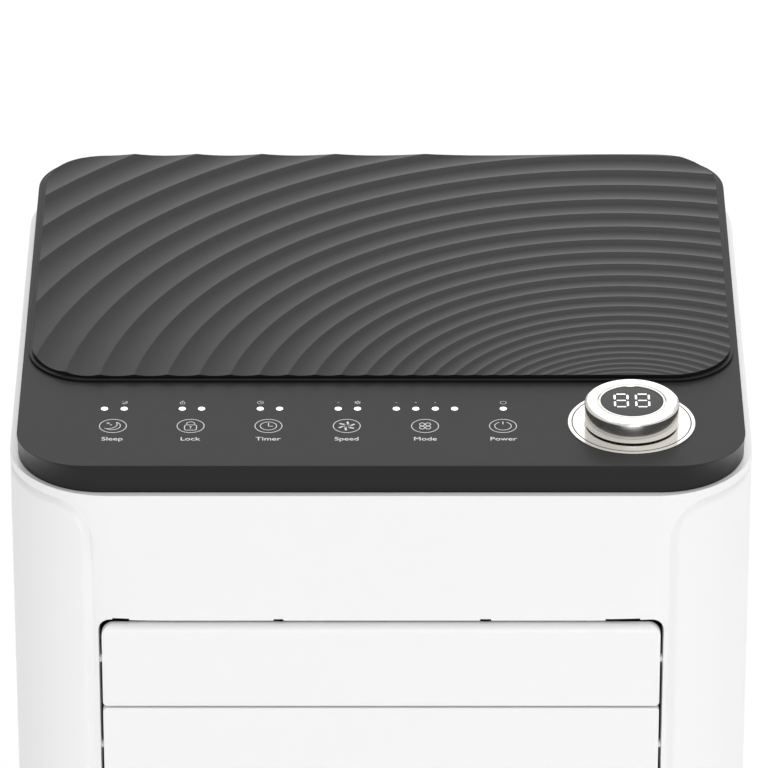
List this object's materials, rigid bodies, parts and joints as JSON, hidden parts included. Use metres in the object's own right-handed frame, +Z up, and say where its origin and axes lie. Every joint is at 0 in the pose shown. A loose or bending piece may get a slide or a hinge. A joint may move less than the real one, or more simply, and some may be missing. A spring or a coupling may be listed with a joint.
{
  "type": "portable air conditioner",
  "caption": "Upright portable air conditioner on casters: white rounded cabinet, dark top with rippled plate, turning display knob, touch panel, louvred front outlet, rear hose socket.",
  "frame": {"origin": "on the floor, below the middle of the body plan", "axes": "+Z up; -Y is the front with the air outlet and the controls; +X to the right of someone facing the front"},
  "size_m": [0.35, 0.32, 0.702],
  "materials": {
    "white_plastic": "satin white ABS",
    "dark_plastic": "satin charcoal ABS",
    "dark_gloss": "semi-gloss charcoal",
    "chrome_trim": "satin chrome plating",
    "display_black": "dark clear window",
    "circuit_board": "solder mask green",
    "grey_plastic": "moulded grey",
    "black_plastic": "moulded black",
    "rubber": "matt rubber",
    "zinc_steel": "zinc-plated",
    "black_steel": "black enamel",
    "copper_pipe": "drawn copper",
    "coil_aluminium": "bare fins"
  },
  "bodies": {
    "cabinet": {"base_pan": "grey_plastic", "front_panel": "white_plastic", "rear_panel": "white_plastic", "left_side_panel": "white_plastic", "right_side_panel": "white_plastic", "top_cap": "dark_plastic", "top_lid": "dark_gloss", "knob_base_ring": "dark_gloss", "display_post": "chrome_trim", "display_lens": "display_black", "display_board": "circuit_board", "touch_board": "circuit_board", "louver_motor": "zinc_steel", "outlet_duct": "grey_plastic", "evaporator_scroll": "grey_plastic", "evaporator_motor": "zinc_steel", "evaporator_coil": "coil_aluminium", "evaporator_tray": "grey_plastic", "condenser_scroll": "grey_plastic", "condenser_motor": "zinc_steel", "condenser_coil": "coil_aluminium", "exhaust_collar": "grey_plastic", "compressor": "black_steel", "compressor_feet": "rubber", "terminal_cover": "black_plastic", "accumulator": "copper_pipe", "refrigerant_lines": "copper_pipe", "splash_motor": "zinc_steel", "control_box": "zinc_steel", "main_board": "circuit_board", "run_capacitor": "zinc_steel", "cord_gland": "black_plastic", "case_screws": "zinc_steel"},
    "knob": {"knob_ring": "chrome_trim"},
    "upper_louver": {"louver_upper": "white_plastic"},
    "lower_louver": {"louver_lower": "white_plastic"},
    "louver_link": {"louver_link": "grey_plastic"},
    "louver_crank": {"louver_crank": "grey_plastic"},
    "vane_link": {"vane_link": "grey_plastic"},
    "evaporator_fan": {"evaporator_fan": "black_plastic"},
    "condenser_fan": {"condenser_fan": "black_plastic"},
    "splash_wheel": {"splash_wheel": "black_plastic"},
    "upper_filter": {"upper_filter": "white_plastic"},
    "lower_filter": {"lower_filter": "white_plastic"},
    "upper_drain_plug": {"upper_drain_plug": "rubber"},
    "lower_drain_plug": {"lower_drain_plug": "rubber"},
    "vane_1": {"vane_1": "grey_plastic"},
    "vane_2": {"vane_2": "grey_plastic"},
    "vane_3": {"vane_3": "grey_plastic"},
    "vane_4": {"vane_4": "grey_plastic"},
    "vane_5": {"vane_5": "grey_plastic"},
    "caster_front_left": {"caster_fork_front_left": "black_plastic"},
    "wheel_front_left": {"caster_wheel_front_left": "rubber"},
    "caster_front_right": {"caster_fork_front_right": "black_plastic"},
    "wheel_front_right": {"caster_wheel_front_right": "rubber"},
    "caster_rear_left": {"caster_fork_rear_left": "black_plastic"},
    "wheel_rear_left": {"caster_wheel_rear_left": "rubber"},
    "caster_rear_right": {"caster_fork_rear_right": "black_plastic"},
    "wheel_rear_right": {"caster_wheel_rear_right": "rubber"}
  },
  "joints": [
    {"name": "knob_turn", "type": "hinge", "parent": "cabinet", "child": "knob", "pos_m": [0.1178, -0.1163, 0.7], "axis": [0, 0, 1], "continuous": true},
    {"name": "upper_louver_swing", "type": "hinge", "parent": "cabinet", "child": "upper_louver", "pos_m": [0, -0.1538, 0.58395], "axis": [1, 0, 0], "range_deg": [0, 75]},
    {"name": "lower_louver_swing", "type": "hinge", "parent": "cabinet", "child": "lower_louver", "pos_m": [0, -0.1538, 0.53635], "axis": [1, 0, 0], "range_deg": [0, 75]},
    {"name": "louver_crank_turn", "type": "hinge", "parent": "cabinet", "child": "louver_crank", "pos_m": [0.13, -0.131, 0.562], "axis": [1, 0, 0], "range_deg": [0, 75]},
    {"name": "louver_link_pin", "type": "hinge", "parent": "upper_louver", "child": "louver_link", "pos_m": [0.128, -0.1318, 0.56395], "axis": [1, 0, 0], "range_deg": [-75, 0]},
    {"name": "vane_1_swing", "type": "hinge", "parent": "cabinet", "child": "vane_1", "pos_m": [-0.1, -0.104, 0.56], "axis": [0, 0, 1], "range_deg": [-35, 35]},
    {"name": "vane_2_swing", "type": "hinge", "parent": "cabinet", "child": "vane_2", "pos_m": [-0.05, -0.104, 0.56], "axis": [0, 0, 1], "range_deg": [-35, 35]},
    {"name": "vane_3_swing", "type": "hinge", "parent": "cabinet", "child": "vane_3", "pos_m": [0, -0.104, 0.56], "axis": [0, 0, 1], "range_deg": [-35, 35]},
    {"name": "vane_4_swing", "type": "hinge", "parent": "cabinet", "child": "vane_4", "pos_m": [0.05, -0.104, 0.56], "axis": [0, 0, 1], "range_deg": [-35, 35]},
    {"name": "vane_5_swing", "type": "hinge", "parent": "cabinet", "child": "vane_5", "pos_m": [0.1, -0.104, 0.56], "axis": [0, 0, 1], "range_deg": [-35, 35]},
    {"name": "vane_link_pin", "type": "hinge", "parent": "vane_1", "child": "vane_link", "pos_m": [-0.1, -0.094, 0.5176], "axis": [0, 0, 1], "range_deg": [-35, 35]},
    {"name": "evaporator_fan_spin", "type": "hinge", "parent": "cabinet", "child": "evaporator_fan", "pos_m": [0, 0.015, 0.535], "axis": [1, 0, 0], "continuous": true},
    {"name": "condenser_fan_spin", "type": "hinge", "parent": "cabinet", "child": "condenser_fan", "pos_m": [0.045, 0.045, 0.185], "axis": [0, 1, 0], "continuous": true},
    {"name": "splash_wheel_spin", "type": "hinge", "parent": "cabinet", "child": "splash_wheel", "pos_m": [-0.075, 0.09, 0.076], "axis": [0, 1, 0], "continuous": true},
    {"name": "upper_filter_pull", "type": "slide", "parent": "cabinet", "child": "upper_filter", "axis": [0, 1, 0], "range_m": [0, 0.06]},
    {"name": "lower_filter_pull", "type": "slide", "parent": "cabinet", "child": "lower_filter", "axis": [0, 1, 0], "range_m": [0, 0.06]},
    {"name": "upper_drain_pull", "type": "slide", "parent": "cabinet", "child": "upper_drain_plug", "axis": [0, 1, 0], "range_m": [0, 0.03]},
    {"name": "lower_drain_pull", "type": "slide", "parent": "cabinet", "child": "lower_drain_plug", "axis": [0, 1, 0], "range_m": [0, 0.03]},
    {"name": "caster_front_left_swivel", "type": "hinge", "parent": "cabinet", "child": "caster_front_left", "pos_m": [-0.128, -0.112, 0.04], "axis": [0, 0, 1], "continuous": true},
    {"name": "wheel_front_left_roll", "type": "hinge", "parent": "caster_front_left", "child": "wheel_front_left", "pos_m": [-0.128, -0.1, 0.018], "axis": [1, 0, 0], "continuous": true},
    {"name": "caster_front_right_swivel", "type": "hinge", "parent": "cabinet", "child": "caster_front_right", "pos_m": [0.128, -0.112, 0.04], "axis": [0, 0, 1], "continuous": true},
    {"name": "wheel_front_right_roll", "type": "hinge", "parent": "caster_front_right", "child": "wheel_front_right", "pos_m": [0.128, -0.1, 0.018], "axis": [1, 0, 0], "continuous": true},
    {"name": "caster_rear_left_swivel", "type": "hinge", "parent": "cabinet", "child": "caster_rear_left", "pos_m": [-0.128, 0.112, 0.04], "axis": [0, 0, 1], "continuous": true},
    {"name": "wheel_rear_left_roll", "type": "hinge", "parent": "caster_rear_left", "child": "wheel_rear_left", "pos_m": [-0.128, 0.124, 0.018], "axis": [1, 0, 0], "continuous": true},
    {"name": "caster_rear_right_swivel", "type": "hinge", "parent": "cabinet", "child": "caster_rear_right", "pos_m": [0.128, 0.112, 0.04], "axis": [0, 0, 1], "continuous": true},
    {"name": "wheel_rear_right_roll", "type": "hinge", "parent": "caster_rear_right", "child": "wheel_rear_right", "pos_m": [0.128, 0.124, 0.018], "axis": [1, 0, 0], "continuous": true}
  ],
  "couplings": [
    {"joint": "lower_louver_swing", "follows": "upper_louver_swing", "ratio": 1},
    {"joint": "louver_crank_turn", "follows": "upper_louver_swing", "ratio": 1},
    {"joint": "louver_link_pin", "follows": "upper_louver_swing", "ratio": -1},
    {"joint": "vane_2_swing", "follows": "vane_1_swing", "ratio": 1},
    {"joint": "vane_3_swing", "follows": "vane_1_swing", "ratio": 1},
    {"joint": "vane_4_swing", "follows": "vane_1_swing", "ratio": 1},
    {"joint": "vane_5_swing", "follows": "vane_1_swing", "ratio": 1},
    {"joint": "vane_link_pin", "follows": "vane_1_swing", "ratio": -1}
  ]
}
